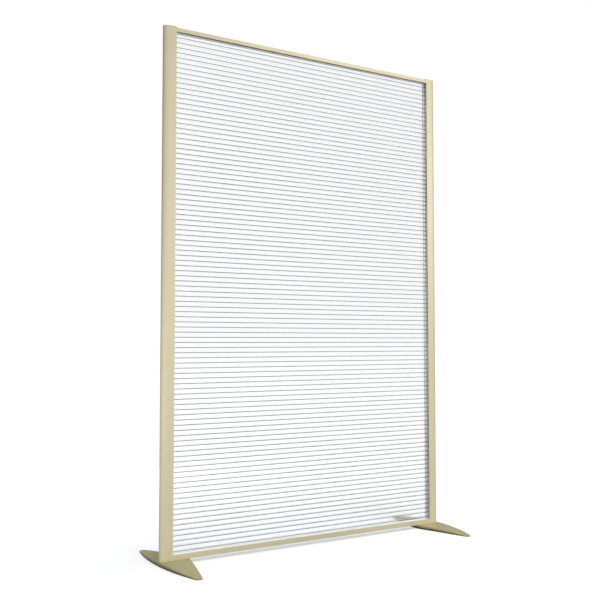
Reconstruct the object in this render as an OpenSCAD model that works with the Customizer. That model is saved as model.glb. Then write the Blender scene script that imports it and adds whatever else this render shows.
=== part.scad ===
// Freestanding partition panel: a grooved aluminium frame round a fluted clear sheet,
// standing on two low curved feet. Millimetres, +Z up. The origin is on the floor, midway
// between the posts and on the panel's mid-plane. The front looks along -Y.

/* [Overall] */
// Height over the post caps
panel_h = 1829; // [1200:1:2400]
// Width over the two posts
panel_w = 1219; // [700:1:1500]

/* [Posts] */
// Width of a post, seen from the front
post_w = 45.5; // [40:0.5:60]
// Depth of the posts and of both rails, front to back
post_d = 28; // [26:0.5:36]
// Width of the flat part of a post's front, before it curves to the outer side
post_flat = 23.5; // [14:0.5:26]
// Radius of the outermost curve of a post
nose_r = 8; // [4:0.5:10]
// Wall of the post extrusion
post_wall = 2; // [1.4:0.1:2.6]
// Depth of the sheet groove in a post
post_groove_d = 18; // [16:0.5:19]

/* [Rails] */
// Height of the top rail's face
top_rail_h = 14; // [13:0.5:30]
// Web of the top rail, above its groove
top_web = 3; // [2.5:0.1:4]
// Height of the bottom rail's face
bottom_rail_h = 18.5; // [18.1:0.1:60]
// Depth of the sheet groove in the bottom rail
bottom_groove_d = 7.2; // [6:0.1:7.6]
// Wall of the bottom rail extrusion
rail_wall = 2; // [1.4:0.1:2.4]

/* [Caps] */
// Thickness of a post cap
cap_t = 4; // [2.5:0.5:10]
// Bevel round the top of a cap
cap_bevel = 1; // [0.3:0.1:1.5]
// Depth of a cap's plug in the post
cap_plug = 14; // [6:1:30]
// Wall of a cap's plug
cap_plug_wall = 1.6; // [1:0.1:2.5]

/* [Sheet] */
// Thickness of the fluted sheet
sheet_t = 16; // [10:0.5:17]
// Thickness of each skin
skin_t = 1; // [0.6:0.1:2]
// Thickness of a rib
rib_t = 0.9; // [0.5:0.1:2]
// Distance from rib to rib
rib_pitch = 17.51; // [10:0.01:40]
// Height of the lowest visible rib above the bottom rail
first_rib = 8; // [1:0.1:14]
// How far the sheet reaches into a post
side_engage = 10; // [6:0.5:10.5]
// How far the sheet reaches into the top rail
top_engage = 5; // [3:0.1:5.2]

/* [Edge seals] */
// Wall of a seal strip
seal_t = 1.2; // [0.8:0.1:1.5]
// How far a seal's edge sits inside the groove
seal_setback = 1; // [0.5:0.1:1.5]
// Clearance between sheet, seal and groove
fit = 0.1; // [0.05:0.05:0.2]
// Length of a setting block
block_l = 80; // [30:1:150]
// Thickness of a setting block
block_t = 1.5; // [1:0.1:2.5]
// Place of the setting blocks, from the middle
block_x = 280; // [100:1:295]

/* [Brackets and fasteners] */
// Thickness of a corner bracket
bracket_t = 2.5; // [2:0.1:2.6]
// Width of a corner bracket
bracket_w = 14; // [10:0.5:15]
// Length of a bracket's leg along the rail, from the post
bracket_leg = 52; // [48:1:90]
// Height of a bracket's leg along the post
bracket_h = 60; // [54:1:120]
// Diameter of the pan-head bracket screws
small_d = 4; // [3:0.5:4.5]
// Head height of the pan-head screws
small_head = 1.8; // [1.2:0.1:1.9]
// How far a bracket screw reaches past the post's groove wall
small_reach = 3; // [1:0.5:5]
// Diameter of the screws in the feet
foot_screw_d = 6; // [4:0.5:6.5]
// Head height of the screws in the feet
foot_head = 6; // [4:0.5:6.5]
// Play round a screw in a plain hole
play = 0.2; // [0.1:0.05:0.3]
// Play round a screw in its thread
thread_play = 0.05; // [0.02:0.01:0.1]
// Height of the thin nuts in the bottom rail
nut_h = 4; // [3:0.1:4.4]
// Distance of the nearer screw pair from the post's inner face
rail_screw_a = 16; // [12:1:20]
// Distance of the further screw pair from the post's inner face
rail_screw_b = 38; // [34:1:42]
// Distance of the foot screws from a post's inner face, towards its outer side
post_screw_u = 26; // [25:0.5:27]
// Half the distance between the two foot screws in a post
post_screw_y = 6.5; // [6.2:0.1:6.6]
// Height of the tapped insert in a post
insert_h = 60; // [50:1:120]
// Distance of the insert's outer face from a post's inner face
insert_u = 38; // [33:0.5:39]

/* [Feet] */
// Height of a foot at the panel, which is the gap under the bottom rail
foot_h = 15; // [13:0.5:30]
// Height of a foot's top at its tips
foot_tip_h = 4; // [3.5:0.5:12]
// Length of a foot, front to back
foot_l = 462; // [380:1:700]
// How far a foot stands out past its post
foot_out = 4.3; // [1:0.1:30]
// How far a foot reaches under the bottom rail
foot_in = 62; // [56:0.5:110]
// Radius of a foot's tips
foot_tip_r = 13.4; // [8:0.1:16]
// Distance of the tips' centres from the post's inner face, towards its outer side
foot_tip_u = 8.2; // [0:0.1:16]
// Radius of the blunt corner under the bottom rail
foot_apex_r = 90; // [40:1:140]
// Diameter of the pads
pad_d = 20; // [12:1:22]
// Thickness of the pads
pad_t = 2; // [1.5:0.1:3]
// How far the pads stand out of the foot
pad_proud = 1; // [0.5:0.1:1.4]
// Distance of the outer pads' centres from the foot's ends
pad_in = 46; // [30:1:100]

/* [Hidden] */
$fn = 64;

// Heights of the main faces
frame_z0 = foot_h;
rail_top_z = panel_h - cap_t;
top_rail_z = rail_top_z - top_rail_h;
bottom_rail_z = frame_z0 + bottom_rail_h;
bottom_floor_z = bottom_rail_z - bottom_groove_d;
web_z = rail_top_z - top_web;

// Plan places: the inner faces of the posts and half the frame's depth
inner_x = panel_w / 2 - post_w;
half_d = post_d / 2;

// Sheet and groove
groove_w = sheet_t + 2 * (seal_t + 2 * fit);
sheet_x = inner_x + side_engage;
sheet_z0 = bottom_floor_z + block_t + seal_t;
sheet_z1 = top_rail_z + top_engage;
rib_z0 = bottom_rail_z + first_rib;
rib_last = floor((sheet_z1 - rib_t - rib_z0) / rib_pitch);

// Fasteners
cut = 1;
small_head_d = 2 * small_d;
foot_head_d = foot_screw_d + 4;
head_z = pad_proud + 0.5;
ledge_z = head_z + foot_head;
insert_thread = 25;
blind = top_web - 0.6;
nut_af = foot_screw_d + 4;
leg_bottom_z = frame_z0 + rail_wall;
mid_pad_u = (post_screw_u - rail_screw_a) / 2;
post_hole_rise = [25, 45];

// Outline of a post from its inner face outwards, drawn inside itself by inset. Two side
// arcs run tangent from the flats into the nose arc, and the same centres serve every inset.
nose_len = post_w - post_flat;
side_r = (nose_len * nose_len + half_d * half_d - 2 * nose_len * nose_r) / (2 * (half_d - nose_r));
side_turn = atan2(side_r - half_d, nose_len - nose_r);
function arc(c, r, a0, a1, n) =
    [for (i = [0 : n]) let (a = a0 + (a1 - a0) * i / n) [c[0] + r * cos(a), c[1] + r * sin(a)]];
function post_outline(inset) = concat(
    [[inset, inset - half_d]],
    arc([post_flat, side_r - half_d], side_r - inset, -90, -side_turn, 10),
    arc([post_w - nose_r, 0], nose_r - inset, -side_turn, side_turn, 18),
    arc([post_flat, half_d - side_r], side_r - inset, side_turn, 90, 10),
    [[inset, half_d - inset]]);

// Outline of a foot, from the post's inner face inwards: a blunt corner under the rail,
// straight flanks to the two tips and one long arc along the outer side.
foot_half = foot_l / 2;
tip_x = -foot_tip_u;
tip_y = foot_half - foot_tip_r;
outer_reach = post_w + foot_out;
lean = outer_reach - foot_tip_r;
outer_c = (tip_x * tip_x + tip_y * tip_y - lean * lean) / (2 * (lean + tip_x));
outer_r = outer_c + outer_reach;
outer_turn = atan2(tip_y, tip_x - outer_c);
apex_c = foot_in - foot_apex_r;
tip_far = norm([tip_x - apex_c, tip_y]);
flank_turn = atan2(tip_y, tip_x - apex_c) - acos((foot_apex_r - foot_tip_r) / tip_far);
foot_points = concat(
    arc([apex_c, 0], foot_apex_r, -flank_turn, flank_turn, 10),
    arc([tip_x, tip_y], foot_tip_r, flank_turn, outer_turn, 14),
    arc([outer_c, 0], outer_r, outer_turn, 360 - outer_turn, 40),
    arc([tip_x, -tip_y], foot_tip_r, 360 - outer_turn, 360 - flank_turn, 14));

// The top of a foot is a shallow arch that drops from foot_h to foot_tip_h
arch_drop = foot_h - foot_tip_h;
arch_r = (foot_half * foot_half + arch_drop * arch_drop) / (2 * arch_drop);
arch_turn = asin(foot_half / arch_r);
arch_points = concat(
    [[-foot_half, 0]],
    arc([0, foot_h - arch_r], arch_r, 90 + arch_turn, 90 - arch_turn, 48),
    [[foot_half, 0]]);

metal = "#cdc29c";
steel = "#9a9a98";
clear = "#e4edf2";
pale = "#d7d8d6";

// A cylinder along X, from x0 to x1
module bar_x(x0, x1, r, y, z) {
    translate([x0, y, z]) rotate([0, 90, 0]) cylinder(r = r, h = x1 - x0);
}

// A cylinder along Z, from z0 to z1
module bar_z(x, y, z0, z1, r) {
    translate([x, y, z0]) cylinder(r = r, h = z1 - z0);
}

// A box from one corner to the other
module box(low, high) {
    translate(low) cube(high - low);
}

// The post section without its groove, between two walls of the given inset
module post_section(inset, from_u) {
    intersection() {
        polygon(post_outline(inset));
        translate([from_u, -half_d]) square([post_w - from_u, post_d]);
    }
}

// Heights of the bracket screws in a post, at its foot and at its head
function post_hole_z() = concat([for (r = post_hole_rise) leg_bottom_z + r],
                                [for (r = post_hole_rise) web_z - r]);

module post() {
    color(metal)
    difference() {
        translate([inner_x, 0, frame_z0])
            linear_extrude(rail_top_z - frame_z0)
                difference() {
                    polygon(post_outline(0));
                    translate([-cut, -groove_w / 2]) square([post_groove_d + cut, groove_w]);
                    post_section(post_wall, post_groove_d + post_wall);
                }
        for (z = post_hole_z())
            bar_x(inner_x + post_groove_d - cut, inner_x + post_groove_d + post_wall + cut,
                  small_d / 2 + thread_play, 0, z);
    }
}
module right_post() post();
module left_post() mirror([1, 0, 0]) post();

module top_rail() {
    color(metal)
    difference() {
        box([-inner_x, -half_d, top_rail_z], [inner_x, half_d, rail_top_z]);
        box([-inner_x - cut, -groove_w / 2, top_rail_z - cut], [inner_x + cut, groove_w / 2, web_z]);
        for (s = [-1, 1], u = [rail_screw_a, rail_screw_b])
            bar_z(s * (inner_x - u), 0, web_z - cut, web_z + blind, small_d / 2 + thread_play);
    }
}

module bottom_rail() {
    hollow_z1 = bottom_floor_z - rail_wall;
    color(metal)
    difference() {
        box([-inner_x, -half_d, frame_z0], [inner_x, half_d, bottom_rail_z]);
        box([-inner_x - cut, -groove_w / 2, bottom_floor_z],
            [inner_x + cut, groove_w / 2, bottom_rail_z + cut]);
        box([-inner_x - cut, rail_wall - half_d, frame_z0 + rail_wall],
            [inner_x + cut, half_d - rail_wall, hollow_z1]);
        for (s = [-1, 1], u = [rail_screw_a, rail_screw_b])
            bar_z(s * (inner_x - u), 0, frame_z0 - cut, frame_z0 + rail_wall + cut,
                  foot_screw_d / 2 + play);
    }
}

// One extrusion: two skins with level ribs, cut between ribs along its top and bottom
module multiwall_sheet() {
    flute_y = sheet_t / 2 - skin_t;
    color(clear)
    difference() {
        box([-sheet_x, -sheet_t / 2, sheet_z0], [sheet_x, sheet_t / 2, sheet_z1]);
        box([-sheet_x - cut, -flute_y, sheet_z0 - cut], [sheet_x + cut, flute_y, rib_z0]);
        for (i = [0 : rib_last])
            box([-sheet_x - cut, -flute_y, rib_z0 + i * rib_pitch + rib_t],
                [sheet_x + cut, flute_y,
                 i == rib_last ? sheet_z1 + cut : rib_z0 + (i + 1) * rib_pitch]);
    }
}

// Section of a U strip round a sheet edge at the origin, its mouth towards -X
module seal_section(leg) {
    gap = sheet_t + 2 * fit;
    difference() {
        translate([-leg, -gap / 2 - seal_t]) square([leg + seal_t, gap + 2 * seal_t]);
        translate([-leg - cut, -gap / 2]) square([leg + cut, gap]);
    }
}

module side_seal() {
    color(pale)
    translate([sheet_x + fit, 0, sheet_z0])
        linear_extrude(sheet_z1 - sheet_z0) seal_section(side_engage + fit - seal_setback);
}
module right_edge_seal() side_seal();
module left_edge_seal() mirror([1, 0, 0]) side_seal();

// The strips along the top and bottom stop short of the side strips
level_seal_x = inner_x + seal_setback - 2 * fit;
module level_seal(leg) {
    rotate([90, 0, 90]) translate([0, 0, -level_seal_x])
        linear_extrude(2 * level_seal_x) rotate(90) seal_section(leg);
}
module top_edge_seal() {
    color(pale) translate([0, 0, sheet_z1 + fit]) level_seal(top_engage + fit - seal_setback);
}
module bottom_edge_seal() {
    color(pale) translate([0, 0, sheet_z0]) mirror([0, 0, 1])
        level_seal(bottom_rail_z - sheet_z0 - seal_setback);
}

module setting_blocks() {
    color("#4c4f50")
    for (s = [-1, 1])
        box([s * block_x - block_l / 2, -sheet_t / 2, bottom_floor_z],
            [s * block_x + block_l / 2, sheet_t / 2, bottom_floor_z + block_t]);
}

module top_cap() {
    color(metal)
    translate([inner_x, 0, rail_top_z]) {
        hull() {
            linear_extrude(cap_t - cap_bevel) polygon(post_outline(0));
            linear_extrude(cap_t) polygon(post_outline(cap_bevel));
        }
        translate([0, 0, -cap_plug])
            linear_extrude(cap_plug)
                difference() {
                    post_section(post_wall + fit, post_groove_d + post_wall + fit);
                    post_section(post_wall + fit + cap_plug_wall,
                                 post_groove_d + post_wall + fit + cap_plug_wall);
                }
    }
}
module right_top_cap() top_cap();
module left_top_cap() mirror([1, 0, 0]) top_cap();

// An angle bracket with its corner at the foot of a right-hand post, legs up and inwards
module bracket(hole_r) {
    leg_x = inner_x + post_groove_d;
    color(steel)
    difference() {
        union() {
            box([leg_x - bracket_t, -bracket_w / 2, 0], [leg_x, bracket_w / 2, bracket_h]);
            box([inner_x - bracket_leg, -bracket_w / 2, 0],
                [leg_x - bracket_t, bracket_w / 2, bracket_t]);
        }
        for (z = post_hole_rise)
            bar_x(leg_x - bracket_t - cut, leg_x + cut, small_d / 2 + play, 0, z);
        for (u = [rail_screw_a, rail_screw_b])
            bar_z(inner_x - u, 0, -cut, bracket_t + cut, hole_r);
    }
}
module lower_bracket() translate([0, 0, leg_bottom_z]) bracket(foot_screw_d / 2 + play);
module upper_bracket() translate([0, 0, web_z]) mirror([0, 0, 1]) bracket(small_d / 2 + play);
module bottom_right_bracket() lower_bracket();
module bottom_left_bracket() mirror([1, 0, 0]) lower_bracket();
module top_right_bracket() upper_bracket();
module top_left_bracket() mirror([1, 0, 0]) upper_bracket();

// Pan-head screw along +Z, its head below the seat at the origin
module pan_screw(length) {
    bar_z(0, 0, 0, length, small_d / 2);
    difference() {
        bar_z(0, 0, -small_head, 0, small_head_d / 2);
        bar_z(0, 0, -small_head - cut, -small_head / 2, small_d / 4);
    }
}

module post_bracket_screws() {
    color(steel)
    for (s = [0, 1])
        mirror([s, 0, 0])
            for (z = post_hole_z())
                translate([inner_x + post_groove_d - bracket_t, 0, z]) rotate([0, 90, 0])
                    pan_screw(bracket_t + post_wall + small_reach);
}

module top_rail_screws() {
    color(steel)
    for (s = [-1, 1], u = [rail_screw_a, rail_screw_b])
        translate([s * (inner_x - u), 0, web_z - bracket_t]) pan_screw(bracket_t + blind);
}

// Tapped plug that fills the post's hollow at its foot
module base_insert() {
    color(steel)
    difference() {
        translate([inner_x, 0, frame_z0])
            linear_extrude(insert_h)
                intersection() {
                    post_section(post_wall + fit, post_groove_d + post_wall + fit);
                    translate([0, -half_d]) square([insert_u, post_d]);
                }
        for (s = [-1, 1])
            bar_z(inner_x + post_screw_u, s * post_screw_y, frame_z0 - cut,
                  frame_z0 + insert_thread + cut, foot_screw_d / 2 + thread_play);
        for (z = post_hole_rise)
            bar_x(inner_x + post_groove_d, inner_x + post_groove_d + post_wall + small_reach + cut,
                  small_d / 2 + thread_play, 0, leg_bottom_z + z);
    }
}
module right_base_insert() base_insert();
module left_base_insert() mirror([1, 0, 0]) base_insert();

// Places of the screws and pads in a right-hand foot, in plan
post_screws = [for (s = [-1, 1]) [inner_x + post_screw_u, s * post_screw_y]];
rail_screws = [for (u = [rail_screw_a, rail_screw_b]) [inner_x - u, 0]];
pad_y = foot_half - pad_in;
pads = [[inner_x + foot_tip_u, -pad_y], [inner_x + foot_tip_u, pad_y],
        [inner_x + mid_pad_u, 0]];

module foot() {
    color(metal)
    difference() {
        intersection() {
            translate([0, 0, pad_proud])
                linear_extrude(foot_h)
                    polygon([for (p = foot_points) [inner_x - p[0], p[1]]]);
            translate([inner_x - foot_in - cut, 0, 0]) rotate([90, 0, 90])
                linear_extrude(foot_in + outer_reach + 2 * cut) polygon(arch_points);
        }
        for (p = concat(post_screws, rail_screws)) {
            bar_z(p[0], p[1], 0, foot_h + cut, foot_screw_d / 2 + play);
            bar_z(p[0], p[1], 0, ledge_z, foot_head_d / 2 + play);
        }
        for (p = pads)
            bar_z(p[0], p[1], 0, pad_t, pad_d / 2 + play);
    }
}
module right_foot() foot();
module left_foot() mirror([1, 0, 0]) foot();

// Cap screw with a hexagon socket, head from head_z to ledge_z and tip at tip_z
module cap_screw(p, tip_z) {
    bar_z(p[0], p[1], ledge_z, tip_z, foot_screw_d / 2);
    difference() {
        bar_z(p[0], p[1], head_z, ledge_z, foot_head_d / 2);
        translate([p[0], p[1], head_z - cut])
            cylinder(d = foot_screw_d, h = foot_head / 2 + cut, $fn = 6);
    }
}

module foot_post_screws() {
    color(steel)
    for (s = [0, 1])
        mirror([s, 0, 0])
            for (p = post_screws) cap_screw(p, frame_z0 + insert_thread);
}

nut_z = leg_bottom_z + bracket_t;
module foot_rail_screws() {
    color(steel)
    for (s = [0, 1])
        mirror([s, 0, 0])
            for (p = rail_screws) cap_screw(p, nut_z + nut_h);
}

module foot_rail_nuts() {
    color(steel)
    for (s = [0, 1])
        mirror([s, 0, 0])
            for (p = rail_screws)
                translate([p[0], p[1], nut_z])
                    difference() {
                        cylinder(d = nut_af / cos(30), h = nut_h, $fn = 6);
                        translate([0, 0, -cut])
                            cylinder(r = foot_screw_d / 2 + thread_play, h = nut_h + 2 * cut);
                    }
}

module foot_pads() {
    color("#3c3d3e")
    for (p = pads)
        bar_z(p[0], p[1], 0, pad_t, pad_d / 2);
}
module right_foot_pads() foot_pads();
module left_foot_pads() mirror([1, 0, 0]) foot_pads();

left_post();
right_post();
top_rail();
bottom_rail();
multiwall_sheet();
top_edge_seal();
bottom_edge_seal();
left_edge_seal();
right_edge_seal();
setting_blocks();
left_top_cap();
right_top_cap();
top_left_bracket();
top_right_bracket();
bottom_left_bracket();
bottom_right_bracket();
post_bracket_screws();
top_rail_screws();
left_base_insert();
right_base_insert();
left_foot();
right_foot();
foot_post_screws();
foot_rail_screws();
foot_rail_nuts();
left_foot_pads();
right_foot_pads();
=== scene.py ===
# %% [markdown]
# # A freestanding partition panel
# The CAD model gives every part its size and place: two posts, two rails, a fluted clear
# sheet, caps, feet and the fasteners inside. This script gives them their looks. It keeps
# the CAD shapes, softens the edges that a maker would soften, and paints each part with
# a material made of nodes. Lengths are in metres, as in the CAD model once it is loaded.

import math

import bmesh
import bpy
from mathutils import Matrix, Vector


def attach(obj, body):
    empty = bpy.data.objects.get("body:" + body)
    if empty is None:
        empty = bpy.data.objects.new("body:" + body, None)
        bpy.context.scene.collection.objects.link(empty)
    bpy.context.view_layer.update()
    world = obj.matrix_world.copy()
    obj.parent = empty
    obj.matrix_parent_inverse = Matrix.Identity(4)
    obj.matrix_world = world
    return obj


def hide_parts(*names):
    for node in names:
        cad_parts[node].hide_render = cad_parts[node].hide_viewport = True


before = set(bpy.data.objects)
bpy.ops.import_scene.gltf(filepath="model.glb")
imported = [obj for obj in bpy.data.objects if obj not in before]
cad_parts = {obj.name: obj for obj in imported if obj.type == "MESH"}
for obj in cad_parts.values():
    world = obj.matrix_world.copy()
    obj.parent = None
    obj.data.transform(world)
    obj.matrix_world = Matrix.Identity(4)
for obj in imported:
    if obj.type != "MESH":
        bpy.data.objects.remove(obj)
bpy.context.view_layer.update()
scene = bpy.context.scene

# %% [markdown]
# ## The camera
# A photograph of a tall flat panel fixes its camera well: the four frame edges and the two
# feet give its place, its turn and its lens. A camera can be aimed by two angles and a
# small roll. Three direction vectors are used here instead of Euler angles, because the
# columns of a camera's matrix are just its right, its up and its back.

# %% Place the camera
TURN = math.radians(32.8032)
TILT = math.radians(2.9928)
ROLL = math.radians(0.0126)
CAMERA_PLACE = Vector((-1.8508, -2.7605, 0.7458))
LENS_MM = 54.203
SENSOR_MM = 36.0

ahead = Vector((math.sin(TURN) * math.cos(TILT), math.cos(TURN) * math.cos(TILT), math.sin(TILT)))
level = Vector((math.cos(TURN), -math.sin(TURN), 0.0))
upward = level.cross(ahead)
cam_right = level * math.cos(ROLL) + upward * math.sin(ROLL)
cam_up = upward * math.cos(ROLL) - level * math.sin(ROLL)

camera_data = bpy.data.cameras.new("photo_camera")
camera_data.lens = LENS_MM
camera_data.sensor_width = SENSOR_MM
camera = bpy.data.objects.new("photo_camera", camera_data)
scene.collection.objects.link(camera)
camera_axes = Matrix((cam_right, cam_up, -ahead)).transposed().to_4x4()
camera.matrix_world = Matrix.Translation(CAMERA_PLACE) @ camera_axes
scene.camera = camera
scene.view_settings.view_transform = "Standard"
print("camera", tuple(round(v, 3) for v in camera.location), "lens", camera_data.lens)


# %% [markdown]
# ## Small helpers for node trees
# Every material below is a short list of nodes and links. Small helpers keep that list
# readable: they add a node and set its values, join two sockets, do a sum, and turn the
# colour a painter would name (0 to 255, as on a screen) into the linear colour that
# Blender's shaders work in.


# %% Node helpers
def add_node(tree, kind, values=(), **settings):
    made = tree.nodes.new("ShaderNode" + kind)
    for name, value in settings.items():
        setattr(made, name, value)
    for socket, value in dict(values).items():
        made.inputs[socket].default_value = value
    return made


def join(tree, start, end):
    tree.links.new(start, end)


def screen_colour(red, green, blue):
    def linear(v):
        v = v / 255
        return v / 12.92 if v <= 0.04045 else ((v + 0.055) / 1.055) ** 2.4

    return (linear(red), linear(green), linear(blue), 1.0)


def plain_grey(value):
    return (value, value, value, 1.0)


def math_node(tree, operation, a, b=None, c=None, clamp=False):
    made = add_node(tree, "Math", operation=operation, use_clamp=clamp)
    for i, value in enumerate((a, b, c)):
        if value is None:
            continue
        if isinstance(value, (int, float)):
            made.inputs[i].default_value = value
        else:
            join(tree, value, made.inputs[i])
    return made.outputs[0]


def seen_rays(tree):
    """1 for rays that show the backdrop to the camera: straight, mirrored or through glass."""
    rays = add_node(tree, "LightPath").outputs
    indirect = math_node(tree, "MAXIMUM", rays["Is Glossy Ray"], rays["Is Transmission Ray"])
    return math_node(tree, "MAXIMUM", rays["Is Camera Ray"], indirect)


# %% [markdown]
# ## The studio
# The photograph has a white floor that fades into a white background, soft light from the
# front and above, and a faint shadow under the panel. A painted backdrop would need lamps
# of its own. Here the world shows plain white to the rays that the camera follows, and a
# dimmer, slightly cool grey to the rays that light the panel, so the background stays white
# and the frame keeps its shading. That grey fades towards the left and the right, which
# leaves the rounded outer sides of the posts a little darker than their flat fronts. The
# sheet mirrors what stands in front of it, so the world is white in mirrors only there.

# %% World
COOL_TINT = (0.96, 0.98, 1.0, 1.0)
AMBIENT = 0.36
MIDDLE_GAIN = 1.18
SIDE_LOSS = 0.95
MIRROR_FALL = -1.4
MIRROR_SIDE = 0.35

world = bpy.data.worlds.new("studio")
scene.world = world
world.use_nodes = True
tree = world.node_tree
tree.nodes.clear()
dim = add_node(tree, "Background", {"Color": COOL_TINT})
white = add_node(tree, "Background", {"Color": plain_grey(1.0), "Strength": 1.0})
mix = add_node(tree, "MixShader")
out = add_node(tree, "OutputWorld")
facing = add_node(tree, "SeparateXYZ")
join(tree, add_node(tree, "TexCoord").outputs["Generated"], facing.inputs[0])
front = math_node(tree, "MULTIPLY_ADD", facing.outputs["Y"], MIRROR_FALL, MIRROR_SIDE, clamp=True)
sideways = math_node(tree, "ABSOLUTE", facing.outputs["X"])
strength = math_node(tree, "MULTIPLY_ADD", sideways, -SIDE_LOSS * AMBIENT, MIDDLE_GAIN * AMBIENT)
join(tree, strength, dim.inputs["Strength"])
rays = add_node(tree, "LightPath").outputs
mirror_share = math_node(tree, "MULTIPLY", rays["Is Glossy Ray"], front)
straight = math_node(tree, "MAXIMUM", rays["Is Camera Ray"], rays["Is Transmission Ray"])
join(tree, math_node(tree, "MAXIMUM", straight, mirror_share), mix.inputs[0])
join(tree, dim.outputs[0], mix.inputs[1])
join(tree, white.outputs[0], mix.inputs[2])
join(tree, mix.outputs[0], out.inputs["Surface"])
print("world: ambient", AMBIENT, "backdrop 1.0")

# %% [markdown]
# The floor is one wide matt sheet. It has to do two jobs: show almost pure white with the
# panel's shadow on it, and not throw so much light back up that the undersides of the rails
# lose their shade. So its look depends on who looks: lit paint with a glow added for the
# camera, a darker grey for the light that bounces off it. The glow is a little weaker near
# the panel's base, which paints a wide soft shade there, and a little stronger further out,
# so the floor behind still looks white through the sheet.

# %% Floor
FLOOR_HALF = 40.0
SEEN_GREY = 0.485
BOUNCE_GREY = 0.18
FLOOR_GLOW = 0.6
FAR_GLOW = 0.06
FAR_RISE = 0.7
FAR_OFFSET = -0.8
NEAR_SHADE = 0.175
NEAR_REACH = 1.0
NEAR_HALF_WIDTH = 0.55

floor_mesh = bpy.data.meshes.new("studio_floor")
bm = bmesh.new()
bmesh.ops.create_grid(bm, x_segments=2, y_segments=2, size=FLOOR_HALF)
bm.to_mesh(floor_mesh)
bm.free()
floor = bpy.data.objects.new("studio_floor", floor_mesh)
scene.collection.objects.link(floor)

floor_material = bpy.data.materials.new("studio_floor")
floor_material.use_nodes = True
tree = floor_material.node_tree
tree.nodes.clear()
paint = add_node(tree, "MixRGB", {
    "Color1": plain_grey(BOUNCE_GREY), "Color2": plain_grey(SEEN_GREY),
})
matt = add_node(tree, "BsdfDiffuse")
glow = add_node(tree, "Emission")
both = add_node(tree, "AddShader")
out = add_node(tree, "OutputMaterial")
looked_at = seen_rays(tree)
join(tree, looked_at, paint.inputs["Fac"])
join(tree, paint.outputs[0], matt.inputs["Color"])
where = add_node(tree, "TexCoord")
reach = add_node(tree, "VectorMath", operation="LENGTH")
join(tree, where.outputs["Object"], reach.inputs[0])
far = math_node(tree, "MULTIPLY_ADD", reach.outputs["Value"], FAR_RISE, FAR_OFFSET, clamp=True)
lift = math_node(tree, "MULTIPLY_ADD", far, FAR_GLOW, FLOOR_GLOW)
# Painted shade: the glow drops towards the panel's base and is weakest right beside it.
spot = add_node(tree, "SeparateXYZ")
beside = add_node(tree, "CombineXYZ")
apart = add_node(tree, "VectorMath", operation="LENGTH")
join(tree, where.outputs["Object"], spot.inputs[0])
sideways = math_node(tree, "ABSOLUTE", spot.outputs["X"])
past_post = math_node(tree, "SUBTRACT", sideways, NEAR_HALF_WIDTH)
join(tree, math_node(tree, "MAXIMUM", past_post, 0.0), beside.inputs["X"])
join(tree, spot.outputs["Y"], beside.inputs["Y"])
join(tree, beside.outputs[0], apart.inputs[0])
distance = apart.outputs["Value"]
near = math_node(tree, "MULTIPLY_ADD", distance, -1.0 / NEAR_REACH, 1.0, clamp=True)
lift = math_node(tree, "MULTIPLY_ADD", near, -NEAR_SHADE, lift)
join(tree, math_node(tree, "MULTIPLY", looked_at, lift), glow.inputs["Strength"])
join(tree, matt.outputs[0], both.inputs[0])
join(tree, glow.outputs[0], both.inputs[1])
join(tree, both.outputs[0], out.inputs["Surface"])
floor.data.materials.append(floor_material)
print("floor", 2 * FLOOR_HALF, "m wide")

# %% [markdown]
# Five lamps do the rest. A sun lamp with a wide disc stands in for the big overhead soft
# box: it lights the whole floor evenly, so no edge of a light pool shows. A soft box in
# front, between the posts, gives the photograph's gain in brightness towards the upper
# right corner, a low one at the left lights the left post, one behind lifts the back of
# the frame, and a narrow spot from above lifts the far foot. The clear
# sheet would show these lamps as mirror images that the photograph doesn't have, so all
# but the sun are hidden from mirror rays and from rays that pass through the sheet.


# %% Lamps
def hang_lamp(name, data, place, target, mirrored=False):
    lamp = bpy.data.objects.new(name, data)
    scene.collection.objects.link(lamp)
    lamp.location = place
    lamp.rotation_euler = (Vector(target) - Vector(place)).to_track_quat("-Z", "Y").to_euler()
    lamp.visible_glossy = mirrored
    lamp.visible_transmission = mirrored
    print(name, "power", round(data.energy, 2))


def soft_box(name, width, height, power, place, target):
    data = bpy.data.lights.new(name, "AREA")
    data.shape = "RECTANGLE"
    data.size = width
    data.size_y = height
    data.energy = power
    hang_lamp(name, data, place, target)


sun_data = bpy.data.lights.new("overhead_softbox", "SUN")
sun_data.energy = 1.9
sun_data.angle = math.radians(30)
hang_lamp("overhead_softbox", sun_data, (-0.6, -2.9, 5.2), (0.0, 0.0, 0.0), mirrored=True)

soft_box(
    "right_softbox", width=0.6, height=0.6, power=12.0,
    place=(0.25, -1.1, 1.35), target=(0.5, 0.0, 1.6),
)
soft_box(
    "left_softbox", width=0.6, height=0.6, power=5.0,
    place=(-1.15, -0.9, 0.55), target=(-0.3, 0.0, 0.7),
)
soft_box(
    "rear_softbox", width=1.0, height=1.4, power=20.0,
    place=(0.0, 2.2, 1.0), target=(0.0, 0.0, 1.0),
)

spot_data = bpy.data.lights.new("foot_spot", "SPOT")
spot_data.energy = 50
spot_data.spot_size = math.radians(22)
spot_data.spot_blend = 1.0
spot_data.shadow_soft_size = 0.12
hang_lamp("foot_spot", spot_data, (0.75, -0.95, 2.0), (0.6, -0.05, 0.0))

# %% [markdown]
# ## Effects that several finishes share
# Each effect is a node group: built once, then placed in a material with its own values.
# The first one draws the faint lines that a die leaves along an extrusion. Image textures
# could do that too, but noise stretched along the part has no seam and no fixed scale.


# %% Group helper and drawn lines
def new_group(name, takes, gives):
    group = bpy.data.node_groups.new(name, "ShaderNodeTree")
    for socket, kind, value in takes:
        made = group.interface.new_socket(socket, in_out="INPUT", socket_type="NodeSocket" + kind)
        if value is not None:
            made.default_value = value
    for socket, kind in gives:
        group.interface.new_socket(socket, in_out="OUTPUT", socket_type="NodeSocket" + kind)
    start = group.nodes.new("NodeGroupInput")
    end = group.nodes.new("NodeGroupOutput")
    return group, start, end


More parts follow.
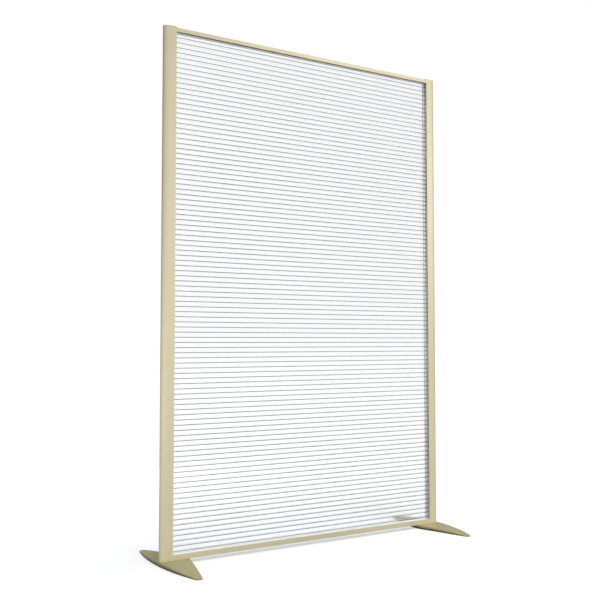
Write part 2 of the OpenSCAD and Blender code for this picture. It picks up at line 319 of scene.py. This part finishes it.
def place_group(tree, group, values=()):
    made = tree.nodes.new("ShaderNodeGroup")
    made.node_tree = group
    for socket, value in dict(values).items():
        made.inputs[socket].default_value = value
    return made


drawn_lines, start, end = new_group(
    "drawn_lines",
    [("Point", "Vector", None), ("Stretch", "Vector", (900.0, 900.0, 5.0))],
    [("Height", "Float"), ("Tone", "Float")],
)
scaled = add_node(drawn_lines, "VectorMath", operation="MULTIPLY")
join(drawn_lines, start.outputs["Point"], scaled.inputs[0])
join(drawn_lines, start.outputs["Stretch"], scaled.inputs[1])
fine = add_node(drawn_lines, "TexNoise", {"Scale": 1.0, "Detail": 3.0, "Roughness": 0.6})
coarse = add_node(drawn_lines, "TexNoise", {"Scale": 0.14, "Detail": 2.0, "Roughness": 0.5})
join(drawn_lines, scaled.outputs[0], fine.inputs["Vector"])
join(drawn_lines, scaled.outputs[0], coarse.inputs["Vector"])
join(drawn_lines, fine.outputs[0], end.inputs["Height"])
join(drawn_lines, coarse.outputs[0], end.inputs["Tone"])
print("group", drawn_lines.name)

# %% [markdown]
# No large surface is one even tone: the anodising bath, the lacquer and the hands that
# carry a panel leave broad soft clouds. One noise far larger than the grain gives them, as
# a value around 0.5 that a material spreads between two close colours.

# %% Broad clouds
clouds, start, end = new_group(
    "broad_clouds",
    [("Point", "Vector", None), ("Per metre", "Float", 6.0)],
    [("Cloud", "Float")],
)
noise = add_node(clouds, "TexNoise", {"Detail": 3.0, "Roughness": 0.55, "Distortion": 0.4})
join(clouds, start.outputs["Point"], noise.inputs["Vector"])
join(clouds, start.outputs["Per metre"], noise.inputs["Scale"])
join(clouds, noise.outputs[0], end.inputs["Cloud"])
print("group", clouds.name)

# %% [markdown]
# Edges take the knocks. Blender's Bevel node can look round the corner: where its softened
# normal differs from the true one, an edge is near. Multiplied by a patchy noise, that
# becomes wear that comes and goes along the edge, as the real thing does.

# %% Edge rub
EDGE_GAIN = 9.0
PATCH_GAIN = 3.0
PATCH_OFFSET = -1.1

edge_rub, start, end = new_group(
    "edge_rub",
    [("Point", "Vector", None), ("Reach", "Float", 0.0008), ("Patches per metre", "Float", 60.0)],
    [("Rub", "Float")],
)
rounded = add_node(edge_rub, "Bevel", samples=4)
true_face = add_node(edge_rub, "NewGeometry")
match = add_node(edge_rub, "VectorMath", operation="DOT_PRODUCT")
join(edge_rub, start.outputs["Reach"], rounded.inputs["Radius"])
join(edge_rub, rounded.outputs[0], match.inputs[0])
join(edge_rub, true_face.outputs["Normal"], match.inputs[1])
likeness = match.outputs["Value"]
turned = math_node(edge_rub, "MULTIPLY_ADD", likeness, -EDGE_GAIN, EDGE_GAIN, clamp=True)
patch = add_node(edge_rub, "TexNoise", {"Detail": 4.0, "Roughness": 0.7})
join(edge_rub, start.outputs["Point"], patch.inputs["Vector"])
join(edge_rub, start.outputs["Patches per metre"], patch.inputs["Scale"])
patchy = math_node(edge_rub, "MULTIPLY_ADD", patch.outputs[0], PATCH_GAIN, PATCH_OFFSET, clamp=True)
join(edge_rub, math_node(edge_rub, "MULTIPLY", turned, patchy), end.inputs["Rub"])
print("group", edge_rub.name)

# %% [markdown]
# Sprayed and powder coats dry with a skin like orange peel, and rubber comes out of its
# mould with a fine matt grain. Both are a bumpy surface of small round cells. Two noises
# of different size, added, look less regular than one.

# %% Coat grain
LARGE_GRAIN_SCALE = 0.37
LARGE_GRAIN_HEIGHT = 0.6

coat_grain, start, end = new_group(
    "coat_grain",
    [("Point", "Vector", None), ("Grains per metre", "Float", 900.0)],
    [("Height", "Float")],
)
small = add_node(coat_grain, "TexNoise", {"Detail": 2.0, "Roughness": 0.5})
large = add_node(coat_grain, "TexNoise", {"Detail": 1.0, "Roughness": 0.5})
join(coat_grain, start.outputs["Point"], small.inputs["Vector"])
join(coat_grain, start.outputs["Point"], large.inputs["Vector"])
join(coat_grain, start.outputs["Grains per metre"], small.inputs["Scale"])
larger = math_node(coat_grain, "MULTIPLY", start.outputs["Grains per metre"], LARGE_GRAIN_SCALE)
join(coat_grain, larger, large.inputs["Scale"])
both = math_node(
    coat_grain, "MULTIPLY_ADD", large.outputs[0], LARGE_GRAIN_HEIGHT, small.outputs[0]
)
join(coat_grain, both, end.inputs["Height"])
print("group", coat_grain.name)

# %% [markdown]
# ## Steps that the finishes share
# All finishes start from the same shader. Most of them also spread their colour or their
# roughness between two close values, lay a tint where a mask says so, or raise their grain
# as a bump. These steps could be copied into each finish, but written once as functions
# they stay the same everywhere, and a finish below is little more than its own values.


# %% Shared steps
def start_material(name):
    material = bpy.data.materials.new(name)
    material.use_nodes = True
    tree = material.node_tree
    tree.nodes.clear()
    out = add_node(tree, "OutputMaterial")
    surface = add_node(tree, "BsdfPrincipled")
    join(tree, surface.outputs[0], out.inputs["Surface"])
    point = add_node(tree, "TexCoord").outputs["Object"]
    return material, tree, surface, point


def blend(tree, share, low, high):
    """One colour or number spread between low and high by a share from 0 to 1."""
    if isinstance(low, tuple):
        made = add_node(tree, "MixRGB", {"Color1": low, "Color2": high})
        join(tree, share, made.inputs["Fac"])
        return made.outputs[0]
    return math_node(tree, "MULTIPLY_ADD", share, high - low, low)


def tinted(tree, colour, mask, share, tint):
    """The colour, with this share of the tint over it where the mask is 1."""
    made = add_node(tree, "MixRGB", {"Color2": tint})
    join(tree, math_node(tree, "MULTIPLY", mask, share), made.inputs["Fac"])
    join(tree, colour, made.inputs["Color1"])
    return made.outputs[0]


def place_and_normal(tree, point):
    """The x, y and z of a point, and those of the direction that its face looks in."""
    place = add_node(tree, "SeparateXYZ")
    normal = add_node(tree, "SeparateXYZ")
    join(tree, point, place.inputs[0])
    join(tree, add_node(tree, "NewGeometry").outputs["Normal"], normal.inputs[0])
    return place.outputs, normal.outputs


def spread_roughness(tree, surface, cloud, low, high):
    join(tree, blend(tree, cloud.outputs["Cloud"], low, high), surface.inputs["Roughness"])


def raise_grain(tree, surface, grain, strength, depth):
    relief = add_node(tree, "Bump", {"Strength": strength, "Distance": depth})
    join(tree, grain.outputs["Height"], relief.inputs["Height"])
    join(tree, relief.outputs[0], surface.inputs["Normal"])


print("shared steps: start, blend, tint, place and normal, roughness, grain")

# %% [markdown]
# ## Champagne satin aluminium
# The posts and rails are extruded aluminium in a warm, pale, satin finish. It could be a
# bare metal, but the photograph shows soft even shading and no mirror lines, as a lacquered
# or anodised surface has. So the metal share is small and the roughness high, with fine
# lines along each length, close colour clouds and a little brightness on rubbed edges.
# The inner faces of the front lips, and the underside of the top rail, lie in shade and look
# much darker than the open faces. The place and the normal of a point single them out, and
# a dark brown is laid there as a painted shade.


# %% Frame finish
LINE_SHARE = 0.35
FRAME_RUB = 0.55
FRAME_POLISH = -0.1
LIP_LIMIT = -0.5
LIP_SHADE = 0.74
RAIL_SPLIT = 0.9


def champagne(name, stretch, upright):
    material, tree, surface, point = start_material(name)
    lines = place_group(tree, drawn_lines, {"Stretch": stretch})
    cloud = place_group(tree, clouds, {"Per metre": 5.0})
    rub = place_group(tree, edge_rub, {"Reach": 0.0007, "Patches per metre": 45.0})
    for group in (lines, cloud, rub):
        join(tree, point, group.inputs["Point"])
    broad = math_node(tree, "MULTIPLY", cloud.outputs["Cloud"], 1.0 - LINE_SHARE)
    tone = math_node(tree, "MULTIPLY_ADD", lines.outputs["Tone"], LINE_SHARE, broad)
    body = blend(tree, tone, screen_colour(201, 191, 157), screen_colour(217, 209, 176))
    body = tinted(tree, body, rub.outputs["Rub"], FRAME_RUB, screen_colour(228, 224, 208))
    # Painted shade: dark brown on the inner faces of the front lips and under the top rail.
    place, turned = place_and_normal(tree, point)
    if upright:
        inward = math_node(tree, "MULTIPLY", place["X"], turned["X"])
        in_front = math_node(tree, "LESS_THAN", place["Y"], 0.0)
        inward = math_node(tree, "MULTIPLY", inward, in_front)
    else:
        over = math_node(tree, "SUBTRACT", place["Z"], RAIL_SPLIT)
        inward = math_node(tree, "MULTIPLY", math_node(tree, "MAXIMUM", over, 0.0), turned["Z"])
    lip_shade_mask = math_node(tree, "LESS_THAN", inward, LIP_LIMIT)
    body = tinted(tree, body, lip_shade_mask, LIP_SHADE, screen_colour(92, 82, 60))
    join(tree, body, surface.inputs["Base Color"])
    gloss = blend(tree, lines.outputs["Tone"], 0.38, 0.5)
    gloss = math_node(tree, "MULTIPLY_ADD", rub.outputs["Rub"], FRAME_POLISH, gloss)
    join(tree, gloss, surface.inputs["Roughness"])
    surface.inputs["Metallic"].default_value = 0.15
    raise_grain(tree, surface, lines, 0.35, 0.00004)
    return material


post_finish = champagne("champagne_upright", (850.0, 850.0, 6.0), True)
rail_finish = champagne("champagne_level", (6.0, 850.0, 850.0), False)
print("materials", post_finish.name, rail_finish.name)

# %% [markdown]
# ## Caps and feet
# The caps and the feet are castings with a fine sprayed coat in the frame's colour. On the
# feet it looks a shade deeper, because they lie flat and a coarser grain catches more
# shade. A darker base colour, which paints that shade in, the coat grain as a bump, and
# scuffs on the edges do it. The lower part of a foot's side is nearly black, thickest at
# the middle, where shadow falls under the plate, so a mask made from the height and the
# distance from the middle paints that shadow on as a dark band.


# %% Coated metal
COAT_RUB = 0.6
EDGE_FALL = 13.0
EDGE_RAGGED = 0.0008
EDGE_SHARPNESS = 700.0
EDGE_SHADE = 0.92
STEEP_FACE = 0.5


def coated(name, low, high, worn_colour, grains, depth, rough, shade_band_top=None):
    material, tree, surface, point = start_material(name)
    grain = place_group(tree, coat_grain, {"Grains per metre": grains})
    cloud = place_group(tree, clouds, {"Per metre": 14.0})
    rub = place_group(tree, edge_rub, {"Reach": 0.0009, "Patches per metre": 80.0})
    for group in (grain, cloud, rub):
        join(tree, point, group.inputs["Point"])
    skin = blend(tree, cloud.outputs["Cloud"], low, high)
    skin = tinted(tree, skin, rub.outputs["Rub"], COAT_RUB, worn_colour)
    if shade_band_top is not None:
        # Painted shadow: a near-black band low on the side faces, deepest at the middle, where
        # shadow falls under the plate.
        place, turned = place_and_normal(tree, point)
        from_middle = math_node(tree, "MULTIPLY", place["Y"], place["Y"])
        top = math_node(tree, "MULTIPLY_ADD", from_middle, -shade_band_top * EDGE_FALL, shade_band_top)
        ragged = math_node(tree, "MULTIPLY_ADD", cloud.outputs["Cloud"], EDGE_RAGGED, top)
        below = math_node(tree, "SUBTRACT", ragged, place["Z"])
        low_part = math_node(tree, "MULTIPLY", below, EDGE_SHARPNESS, clamp=True)
        side = math_node(tree, "LESS_THAN", turned["Z"], STEEP_FACE)
        painted_contact_shade = math_node(tree, "MULTIPLY", low_part, side)
        skin = tinted(tree, skin, painted_contact_shade, EDGE_SHADE, screen_colour(34, 31, 24))
    join(tree, skin, surface.inputs["Base Color"])
    spread_roughness(tree, surface, cloud, rough - 0.05, rough + 0.08)
    surface.inputs["Metallic"].default_value = 0.1
    raise_grain(tree, surface, grain, 0.5, depth)
    return material


cap_finish = coated(
    "cap_satin_coat", screen_colour(198, 189, 156), screen_colour(213, 205, 174),
    worn_colour=screen_colour(226, 222, 206), grains=1100.0, depth=0.00006, rough=0.42,
)
# Painted shade: the feet's coat is the frame's colour, and their darker base colour stands in for
# the shade that makes them look deeper.
shaded_foot_finish = coated(
    "foot_coat_painted_shade", screen_colour(151, 142, 102), screen_colour(163, 154, 116),
    worn_colour=screen_colour(206, 198, 168), grains=800.0, depth=0.00012, rough=0.5,
    shade_band_top=0.0078,
)
print("materials", cap_finish.name, shaded_foot_finish.name)

# %% [markdown]
# ## The fluted sheet
# The sheet is extruded clear plastic: two skins one millimetre thick, joined by level ribs.
# Its flutes are real in the CAD model, so light bends and bounces in them by itself. What
# the solid can't show is the thicker, slightly cloudy plastic where each rib grows out of
# a skin, nor the dark line that each rib draws on the front skin, which is painted on as
# shade. A mask made from the height above the floor finds those places: the distance to
# the nearest rib is a saw-tooth of the height, and the mask is high where it is small.

# %% Rib mask
RIB_PITCH = 0.01751
RAIL_TOP = 0.0335
RIB_ABOVE_RAIL = 0.008
HALF_RIB = 0.00045
RIB_FIRST = RAIL_TOP + RIB_ABOVE_RAIL + HALF_RIB
WELD_HALF_WIDTH = 0.00122
WELD_CORE = 1.4
SKIN_INSIDE = 0.0069

rib_welds, start, end = new_group(
    "rib_welds",
    [
        ("Point", "Vector", None), ("Pitch", "Float", RIB_PITCH),
        ("First", "Float", RIB_FIRST), ("Half width", "Float", WELD_HALF_WIDTH),
    ],
    [("Front weld", "Float"), ("Back weld", "Float"), ("Rib", "Float")],
)
apart = add_node(rib_welds, "SeparateXYZ")
join(rib_welds, start.outputs["Point"], apart.inputs[0])
climb = math_node(rib_welds, "SUBTRACT", apart.outputs["Z"], start.outputs["First"])
steps = math_node(rib_welds, "DIVIDE", climb, start.outputs["Pitch"])
nearest = math_node(rib_welds, "ROUND", steps)
away = math_node(rib_welds, "ABSOLUTE", math_node(rib_welds, "SUBTRACT", steps, nearest))
distance = math_node(rib_welds, "MULTIPLY", away, start.outputs["Pitch"])
closeness = math_node(rib_welds, "DIVIDE", distance, start.outputs["Half width"])
weld = math_node(rib_welds, "SUBTRACT", WELD_CORE, closeness, clamp=True)
depth = math_node(rib_welds, "ABSOLUTE", apart.outputs["Y"])
front = math_node(rib_welds, "LESS_THAN", apart.outputs["Y"], -SKIN_INSIDE)
back = math_node(rib_welds, "GREATER_THAN", apart.outputs["Y"], SKIN_INSIDE)
join(rib_welds, math_node(rib_welds, "MULTIPLY", weld, front), end.inputs["Front weld"])
join(rib_welds, math_node(rib_welds, "MULTIPLY", weld, back), end.inputs["Back weld"])
join(rib_welds, math_node(rib_welds, "LESS_THAN", depth, SKIN_INSIDE), end.inputs["Rib"])
print("ribs from", round(RIB_FIRST, 4), "every", RIB_PITCH)

# %% [markdown]
# The glass itself is a Principled shader with full transmission. Glass stops the light of
# lamps, which would leave a solid black shadow behind the panel, so rays that only ask
# whether a lamp is visible meet a plain transparent shader instead. The faint blue tint is
# in the colour, and a light haze of smears is in the roughness. The thin dark lines are the
# ribs, where light bends away. The weld on the front skin is nearly black, a painted shade
# for those lines, and the rear one is a faint grey for its cloudy plastic.

# %% Clear sheet
sheet_finish, tree, surface, point = start_material("clear_fluted_sheet")
surface.inputs["Transmission Weight"].default_value = 1.0
surface.inputs["IOR"].default_value = 1.58
ribs = place_group(tree, rib_welds)
smears = place_group(tree, clouds, {"Per metre": 9.0})
join(tree, point, ribs.inputs["Point"])
join(tree, point, smears.inputs["Point"])
clear = blend(tree, ribs.outputs["Rib"], (0.985, 0.991, 0.996, 1.0), (0.965, 0.97, 0.975, 1.0))
faint = add_node(tree, "MixRGB", {"Color2": (0.92, 0.92, 0.93, 1.0)})
# Painted shade: the front weld is nearly black, to draw the dark rib lines.
front_weld_shade = add_node(tree, "MixRGB", {"Color2": (0.08, 0.08, 0.083, 1.0)})
join(tree, clear, faint.inputs["Color1"])
join(tree, ribs.outputs["Back weld"], faint.inputs["Fac"])
join(tree, faint.outputs[0], front_weld_shade.inputs["Color1"])
join(tree, ribs.outputs["Front weld"], front_weld_shade.inputs["Fac"])
join(tree, front_weld_shade.outputs[0], surface.inputs["Base Color"])
spread_roughness(tree, surface, smears, 0.085, 0.13)
open_way = add_node(tree, "BsdfTransparent", {"Color": (0.93, 0.94, 0.95, 1.0)})
either = add_node(tree, "MixShader")
rays = add_node(tree, "LightPath").outputs
out = tree.nodes["Material Output"]
join(tree, rays["Is Shadow Ray"], either.inputs[0])
join(tree, surface.outputs[0], either.inputs[1])
join(tree, open_way.outputs[0], either.inputs[2])
join(tree, either.outputs[0], out.inputs["Surface"])
print("material", sheet_finish.name)

# %% [markdown]
# ## Soft strips, blocks and pads
# The strips that hold the sheet in its grooves, the blocks under it and the pads under the
# feet are rubbery. Rubber is matt and shows its grain, and its tone changes a little from
# place to place. The same function makes all of them, with other colours and another grain
# size for each. The four strips are one pale rubber. Beside the right post the strip shows
# pale though little light reaches into the groove, so the side and bottom strips are made
# near white, a pale rubber pushed lighter as painted light. Under the top rail a dark line
# shows where the groove faces down into shade, so the top strip gets a darker grey than the
# other three, a painted shade.


# %% Rubber
def rubbery(name, low, high, grains, rough):
    material, tree, surface, point = start_material(name)
    grain = place_group(tree, coat_grain, {"Grains per metre": grains})
    cloud = place_group(tree, clouds, {"Per metre": 30.0})
    for group in (grain, cloud):
        join(tree, point, group.inputs["Point"])
    join(tree, blend(tree, cloud.outputs["Cloud"], low, high), surface.inputs["Base Color"])
    spread_roughness(tree, surface, cloud, rough - 0.08, rough + 0.08)
    surface.inputs["Specular IOR Level"].default_value = 0.35
    raise_grain(tree, surface, grain, 0.5, 0.00008)
    return material


# Pale rubber pushed near white: partly the strip's own colour, partly painted light for the dim
# grooves.
lit_seal_finish = rubbery(
    "pale_seal_painted_light", screen_colour(243, 244, 243), screen_colour(250, 251, 249),
    grains=1500.0, rough=0.45,
)
# Painted shade: the same rubber as the other strips, darker because its groove faces down into
# shade.
top_seal_painted_shade = rubbery(
    "seal_painted_shade", screen_colour(112, 111, 106), screen_colour(134, 133, 127),
    grains=1500.0, rough=0.6,
)
block_finish = rubbery(
    "dark_block", screen_colour(46, 48, 48), screen_colour(66, 67, 66),
    grains=900.0, rough=0.7,
)
pad_finish = rubbery(
    "black_pad", screen_colour(28, 28, 28), screen_colour(46, 46, 45),
    grains=700.0, rough=0.78,
)
print("materials", lit_seal_finish.name, top_seal_painted_shade.name, block_finish.name, pad_finish.name)

# %% [markdown]
# ## Brackets, screws and plugs
# The hidden hardware is zinc plated steel, and the tapped plugs are raw castings. Zinc has
# a cold grey tone with darker streaks from the bath. These parts are real metals, so the
# metal share is 1, and a noise varies both the colour and the roughness.


# %% Plated and cast metal
PLATE_RUB = 0.7


def plated(name, low, high, per_metre, rough, grains, depth):
    material, tree, surface, point = start_material(name)
    cloud = place_group(tree, clouds, {"Per metre": per_metre})
    grain = place_group(tree, coat_grain, {"Grains per metre": grains})
    rub = place_group(tree, edge_rub, {"Reach": 0.0004, "Patches per metre": 300.0})
    for group in (cloud, grain, rub):
        join(tree, point, group.inputs["Point"])
    body = blend(tree, cloud.outputs["Cloud"], low, high)
    body = tinted(tree, body, rub.outputs["Rub"], PLATE_RUB, screen_colour(222, 222, 220))
    join(tree, body, surface.inputs["Base Color"])
    spread_roughness(tree, surface, cloud, rough - 0.08, rough + 0.12)
    surface.inputs["Metallic"].default_value = 1.0
    raise_grain(tree, surface, grain, 0.4, depth)
    return material


bracket_finish = plated(
    "zinc_bracket", screen_colour(158, 160, 162), screen_colour(192, 193, 192),
    per_metre=70.0, rough=0.34, grains=1600.0, depth=0.00003,
)
screw_finish = plated(
    "zinc_screw", screen_colour(150, 152, 155), screen_colour(196, 197, 196),
    per_metre=220.0, rough=0.28, grains=2500.0, depth=0.00002,
)
plug_finish = plated(
    "cast_plug", screen_colour(128, 128, 126), screen_colour(158, 158, 154),
    per_metre=120.0, rough=0.55, grains=700.0, depth=0.00015,
)
print("materials", bracket_finish.name, screw_finish.name, plug_finish.name)

# %% [markdown]
# ## Softened edges
# A sawn and deburred extrusion has no knife edges: each corner is a tiny round that catches
# the light. The posts, rails and feet are therefore rebuilt from their CAD shapes: the copy
# is welded, its flat faces are joined, and the sharp edges get a small round. The Bevel
# modifier would do the same, but in bmesh the edges can be chosen one by one.


# %% Edge softener
WELD_GAP = 1e-6
FLAT_ANGLE = math.radians(0.3)
SHARP_ANGLE = math.radians(35)
CREASE_ANGLE = math.radians(32)


def softened(node, name, width, segments, wanted, material):
    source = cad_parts[node]
    bm = bmesh.new()
    bm.from_mesh(source.data)
    bmesh.ops.remove_doubles(bm, verts=bm.verts, dist=WELD_GAP)
    bmesh.ops.dissolve_limit(bm, angle_limit=FLAT_ANGLE, verts=bm.verts, edges=bm.edges)
    sharp = [
        e for e in bm.edges
        if len(e.link_faces) == 2 and e.calc_face_angle(0.0) > SHARP_ANGLE and wanted(e)
    ]
    bmesh.ops.bevel(
        bm, geom=sharp, offset=width, offset_type="OFFSET", segments=segments,
        profile=0.5, affect="EDGES", clamp_overlap=False,
    )
    mesh = bpy.data.meshes.new(name)
    bm.to_mesh(mesh)
    bm.free()
    mesh.materials.clear()
    mesh.materials.append(material)
    mesh.shade_smooth()
    mesh.set_sharp_from_angle(angle=CREASE_ANGLE)
    piece = bpy.data.objects.new(name, mesh)
    scene.collection.objects.link(piece)
    even = piece.modifiers.new("even_shading", "WEIGHTED_NORMAL")
    even.keep_sharp = True
    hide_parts(node)
    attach(piece, "root")
    print(name, "edges rounded", len(sharp), "faces", len(mesh.polygons))
    return piece


# %% [markdown]
# The posts and rails only need their long edges broken, by less than half a millimetre. The
# feet are cast and hand finished, so their upper edge is a real round of over a millimetre,
# while the edges down at the underside stay as they are.

# %% Frame and foot pieces
LONG_EDGE = 0.05
UNDERSIDE_TOP = 0.0032
EXTRUSION_ROUND = 0.0004
EXTRUSION_STEPS = 2
FOOT_ROUND = 0.0013
FOOT_STEPS = 3


def long_edge(edge):
    return edge.calc_length() > LONG_EDGE


def outer_edge_of_foot(edge):
    return min(v.co.z for v in edge.verts) > UNDERSIDE_TOP


for node in ("left_post", "right_post"):
    softened(
        node, node + "_extrusion", EXTRUSION_ROUND, EXTRUSION_STEPS, long_edge, post_finish
    )
for node in ("top_rail", "bottom_rail"):
    softened(
        node, node + "_extrusion", EXTRUSION_ROUND, EXTRUSION_STEPS, long_edge, rail_finish
    )
for node in ("left_foot", "right_foot"):
    softened(
        node, node + "_casting", FOOT_ROUND, FOOT_STEPS, outer_edge_of_foot, shaded_foot_finish
    )

# %% [markdown]
# ## Finishes on the parts that keep their CAD shape
# Everything else already has its final shape, so only its material changes. A table from
# part name to finish is short and shows at a glance that nothing was forgotten.

# %% Assign finishes
finishes = {
    "multiwall_sheet": sheet_finish,
    "left_top_cap": cap_finish,
    "right_top_cap": cap_finish,
    "top_edge_seal": top_seal_painted_shade,
    "bottom_edge_seal": lit_seal_finish,
    "left_edge_seal": lit_seal_finish,
    "right_edge_seal": lit_seal_finish,
    "setting_blocks": block_finish,
    "top_left_bracket": bracket_finish,
    "top_right_bracket": bracket_finish,
    "bottom_left_bracket": bracket_finish,
    "bottom_right_bracket": bracket_finish,
    "post_bracket_screws": screw_finish,
    "top_rail_screws": screw_finish,
    "foot_post_screws": screw_finish,
    "foot_rail_screws": screw_finish,
    "foot_rail_nuts": screw_finish,
    "left_base_insert": plug_finish,
    "right_base_insert": plug_finish,
    "left_foot_pads": pad_finish,
    "right_foot_pads": pad_finish,
}
for node, finish in finishes.items():
    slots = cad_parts[node].material_slots
    for slot in slots:
        slot.material = finish
    if not slots:
        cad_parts[node].data.materials.append(finish)
print("CAD parts with a finish:", len(finishes))
